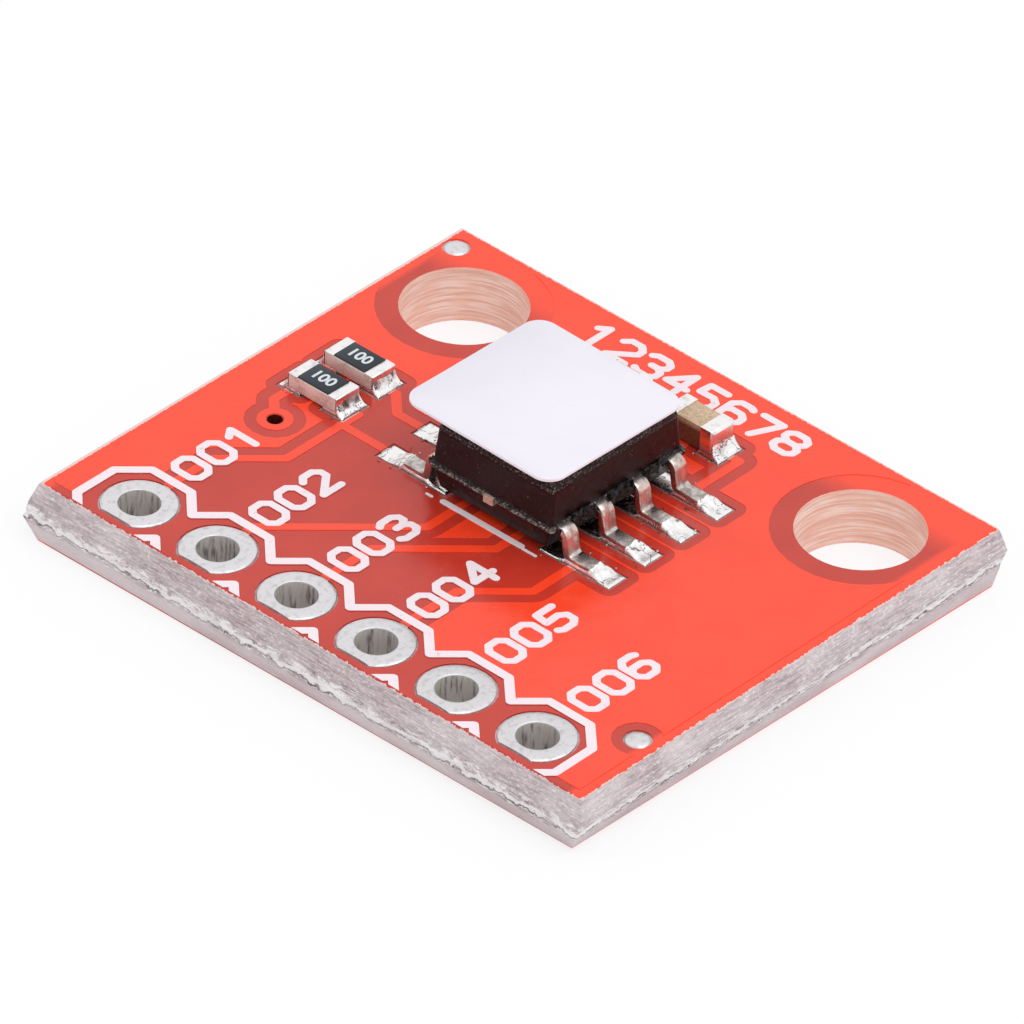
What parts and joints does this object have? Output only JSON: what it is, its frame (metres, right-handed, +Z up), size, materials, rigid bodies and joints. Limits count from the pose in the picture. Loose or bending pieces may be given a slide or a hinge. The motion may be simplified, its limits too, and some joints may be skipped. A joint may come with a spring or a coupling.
{
  "type": "temperature humidity sensor module",
  "caption": "Small red breakout board with a moulded humidity and temperature sensor under a white filter film, plated header holes along one edge and mounting holes along the other.",
  "frame": {"origin": "middle of the board's underside", "axes": "+X from the header holes to the mounting holes, +Y along the header row towards its data end, +Z up out of the component side"},
  "size_m": [0.0152, 0.018, 0.0038],
  "materials": {
    "laminate": "cut glass and epoxy, pale and fibrous at the edges",
    "copper": "rolled copper foil",
    "solder_mask": "glossy red film",
    "print": "flat white ink",
    "tinned": "dull levelled solder over copper",
    "mould_compound": "black epoxy, smooth on the walls and rough on the top rim",
    "lead_frame": "plated copper alloy, rubbed where it was formed",
    "silicon": "polished die",
    "bond_wire": "gold wire",
    "filter_film": "white porous film",
    "solder": "bright flowed solder",
    "white_ceramic": "sawn alumina",
    "resistor_coat": "dark printed coat",
    "fired_ceramic": "tan fired ceramic",
    "plated_ends": "tinned end caps"
  },
  "bodies": {
    "root": {"board_laminate": "laminate", "top_copper": "copper", "bottom_copper": "copper", "top_solder_mask": "solder_mask", "bottom_solder_mask": "solder_mask", "top_silkscreen": "print", "via_barrel": "copper", "fiducial_upper": "tinned", "fiducial_lower": "tinned", "sensor_body": "mould_compound", "die_paddle": "lead_frame", "humidity_die": "silicon", "signal_die": "silicon", "bond_wires": "bond_wire", "filter_film": "filter_film", "header_hole_1": "tinned", "header_hole_2": "tinned", "header_hole_3": "tinned", "header_hole_4": "tinned", "header_hole_5": "tinned", "header_hole_6": "tinned", "sensor_lead_1": "lead_frame", "lead_solder_1": "solder", "sensor_lead_2": "lead_frame", "lead_solder_2": "solder", "sensor_lead_3": "lead_frame", "lead_solder_3": "solder", "sensor_lead_4": "lead_frame", "lead_solder_4": "solder", "sensor_lead_5": "lead_frame", "lead_solder_5": "solder", "sensor_lead_6": "lead_frame", "lead_solder_6": "solder", "sensor_lead_7": "lead_frame", "lead_solder_7": "solder", "sensor_lead_8": "lead_frame", "lead_solder_8": "solder", "resistor_1_ceramic": "white_ceramic", "resistor_1_coat": "resistor_coat", "resistor_1_ends": "plated_ends", "resistor_1_solder": "solder", "capacitor_1_ceramic": "fired_ceramic", "capacitor_1_ends": "plated_ends", "capacitor_1_solder": "solder", "resistor_2_ceramic": "white_ceramic", "resistor_2_coat": "resistor_coat", "resistor_2_ends": "plated_ends", "resistor_2_solder": "solder", "capacitor_2_ceramic": "fired_ceramic", "capacitor_2_ends": "plated_ends", "capacitor_2_solder": "solder"}
  },
  "joints": []
}
